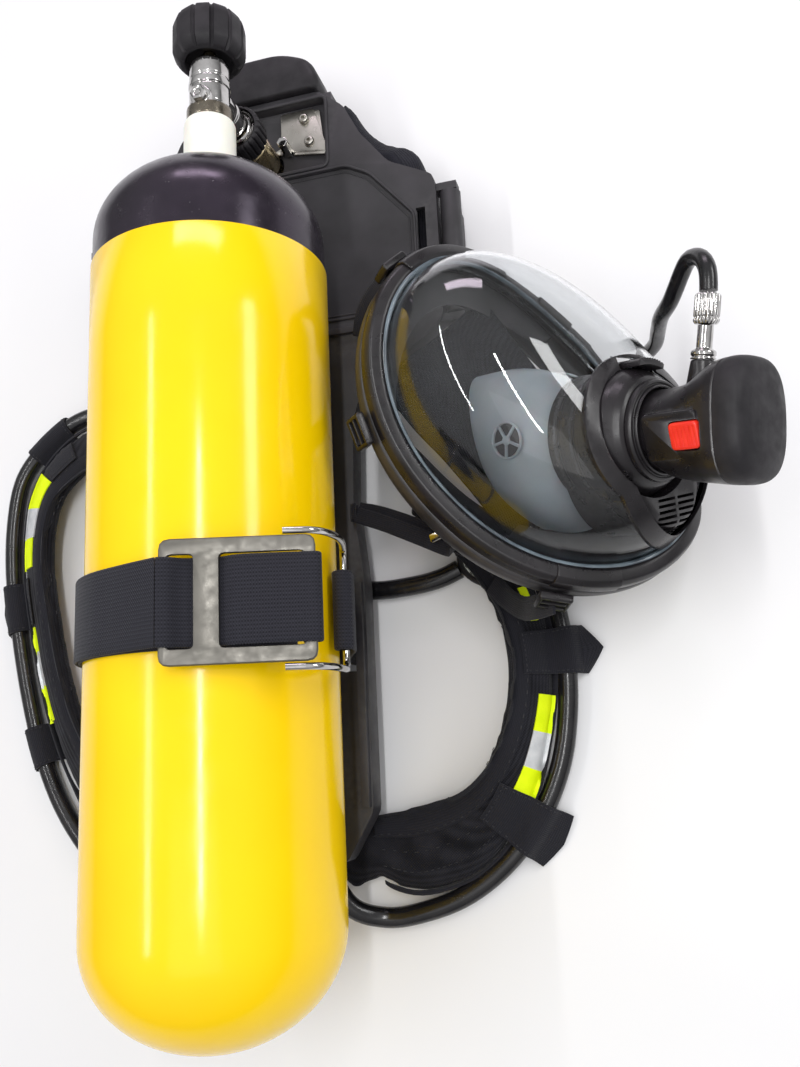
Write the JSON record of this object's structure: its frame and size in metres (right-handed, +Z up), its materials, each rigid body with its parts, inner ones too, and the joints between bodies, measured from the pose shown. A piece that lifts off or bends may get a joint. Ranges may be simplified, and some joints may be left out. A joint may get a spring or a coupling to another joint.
{
  "type": "self-contained breathing apparatus",
  "caption": "Firefighter's breathing apparatus lying on its harness: yellow air cylinder on a back plate, shoulder pads, hoses, and a full-face mask with a demand valve.",
  "frame": {"origin": "a point on the flat underside of the back plate's waist keel, under the cylinder's axis", "axes": "+Z up, away from the floor that the harness side lies on; +Y along the cylinder towards its valve; +X to the side where the mask lies"},
  "size_m": [0.6159, 0.7185, 0.2358],
  "materials": {
    "yellow_sleeve": "gloss",
    "black_composite": "gloss lacquer",
    "liner_aluminium": "satin",
    "white_plastic": "satin",
    "chrome": "polished",
    "steel": "brushed",
    "grey_metal": "satin",
    "brass": "satin",
    "black_plastic": "satin",
    "plate_plastic": "fine grain",
    "black_rubber": "matte",
    "hose_rubber": "semi-gloss",
    "black_fabric": "woven",
    "black_webbing": "ribbed weave",
    "clear_visor": "clear",
    "grey_silicone": "translucent",
    "red_plastic": "satin",
    "white_needle": "satin"
  },
  "bodies": {
    "apparatus": {"cylinder_sleeve": "yellow_sleeve", "cylinder_overwrap": "black_composite", "cylinder_liner": "liner_aluminium", "neck_collar": "white_plastic", "valve_body": "chrome", "burst_disc_plug": "chrome", "relief_valve": "chrome", "hose_union": "chrome", "reducer_bracket": "steel", "bracket_screw_upper": "steel", "bracket_screw_lower": "steel", "reducer_body": "brass", "mask_rim": "black_plastic", "port_housing": "black_plastic", "exhalation_cover": "black_plastic", "port_ring": "black_plastic", "buckle_brow": "black_plastic", "buckle_temple_right": "black_plastic", "buckle_temple_left": "black_plastic", "buckle_jaw_right": "black_plastic", "buckle_jaw_left": "black_plastic", "backplate": "plate_plastic", "waist_bumper": "black_rubber", "cylinder_saddle": "black_rubber", "face_seal": "black_rubber", "gauge_case": "black_rubber", "supply_hose": "hose_rubber", "gauge_hose": "hose_rubber", "demand_hose": "hose_rubber", "lumbar_pad": "black_fabric", "shoulder_pad_right": "black_fabric", "shoulder_pad_left": "black_fabric", "keeper_right_upper": "black_fabric", "keeper_right_lower": "black_fabric", "keeper_left_upper": "black_fabric", "keeper_left_middle": "black_fabric", "keeper_left_lower": "black_fabric", "head_net": "black_fabric", "cylinder_strap": "black_webbing", "strap_anchor": "black_webbing", "mask_visor": "clear_visor", "nose_cup": "grey_silicone"},
    "knob": {"valve_knob": "black_rubber", "valve_stem": "brass"},
    "handwheel": {"reducer_handwheel": "black_rubber"},
    "bail": {"buckle_bail": "steel"},
    "lever": {"buckle_lever": "grey_metal"},
    "hip_right": {"hip_plate_right": "plate_plastic"},
    "hip_left": {"hip_plate_left": "plate_plastic"},
    "demand_valve": {"demand_valve_body": "black_plastic", "demand_valve_cap": "black_rubber", "inlet_stem": "chrome", "hose_nut": "chrome"},
    "button": {"demand_button": "red_plastic"},
    "diaphragm": {"demand_diaphragm": "black_rubber"},
    "latch": {"port_latch": "black_plastic"},
    "exhalation": {"exhalation_disc": "black_rubber"},
    "inhalation_right": {"inhalation_valve_right": "grey_silicone"},
    "inhalation_left": {"inhalation_valve_left": "grey_silicone"},
    "needle": {"gauge_needle": "white_needle"}
  },
  "joints": [
    {"name": "knob_turn", "type": "hinge", "parent": "apparatus", "child": "knob", "pos_m": [0, 0.2895, 0.145], "axis": [0, 1, 0], "continuous": true},
    {"name": "handwheel_turn", "type": "hinge", "parent": "apparatus", "child": "handwheel", "pos_m": [0, 0.264, 0.096], "axis": [0, 0, 1], "continuous": true},
    {"name": "bail_swing", "type": "hinge", "parent": "apparatus", "child": "bail", "pos_m": [0.0885, -0.112, 0.148], "axis": [0, 1, 0], "range_deg": [0, 60]},
    {"name": "lever_swing", "type": "hinge", "parent": "bail", "child": "lever", "pos_m": [0.0761, -0.112, 0.2134], "axis": [0, 1, 0], "range_deg": [0, 110]},
    {"name": "hip_right_swing", "type": "hinge", "parent": "apparatus", "child": "hip_right", "pos_m": [0.149, 0.1635, 0.046], "axis": [0, 1, 0], "range_deg": [-100, 20]},
    {"name": "hip_left_swing", "type": "hinge", "parent": "apparatus", "child": "hip_left", "pos_m": [-0.149, 0.1635, 0.046], "axis": [0, 1, 0], "range_deg": [-20, 100]},
    {"name": "demand_swivel", "type": "hinge", "parent": "apparatus", "child": "demand_valve", "pos_m": [0.28042, -0.02212, 0.13908], "axis": [0.813, -0.179, 0.5541], "range_deg": [-12, 12], "deforming": ["demand_hose"]},
    {"name": "button_press", "type": "slide", "parent": "demand_valve", "child": "button", "axis": [0.576, 0.3862, -0.7205], "range_m": [0, 0.003], "stiffness_N_per_m": 300},
    {"name": "diaphragm_move", "type": "slide", "parent": "demand_valve", "child": "diaphragm", "axis": [-0.813, 0.179, -0.5541], "range_m": [0, 0.0015]},
    {"name": "latch_slide", "type": "slide", "parent": "apparatus", "child": "latch", "axis": [0.813, -0.179, 0.5541], "range_m": [0, 0.0025], "stiffness_N_per_m": 300},
    {"name": "exhalation_lift", "type": "slide", "parent": "apparatus", "child": "exhalation", "axis": [0.813, -0.179, 0.5541], "range_m": [0, 0.0015], "stiffness_N_per_m": 40},
    {"name": "inhalation_right_lift", "type": "slide", "parent": "apparatus", "child": "inhalation_right", "axis": [-0.5331, -0.2083, 0.82], "range_m": [0, 0.0015], "stiffness_N_per_m": 40},
    {"name": "inhalation_left_lift", "type": "slide", "parent": "apparatus", "child": "inhalation_left", "axis": [0.365, 0.9219, -0.13], "range_m": [0, 0.0015], "stiffness_N_per_m": 40},
    {"name": "needle_turn", "type": "hinge", "parent": "apparatus", "child": "needle", "pos_m": [0.152, -0.0597, 0.012], "axis": [0, 0, 1], "range_deg": [0, 270]}
  ],
  "couplings": [
    {"joint": "diaphragm_move", "follows": "button_press", "ratio": 0.5}
  ]
}
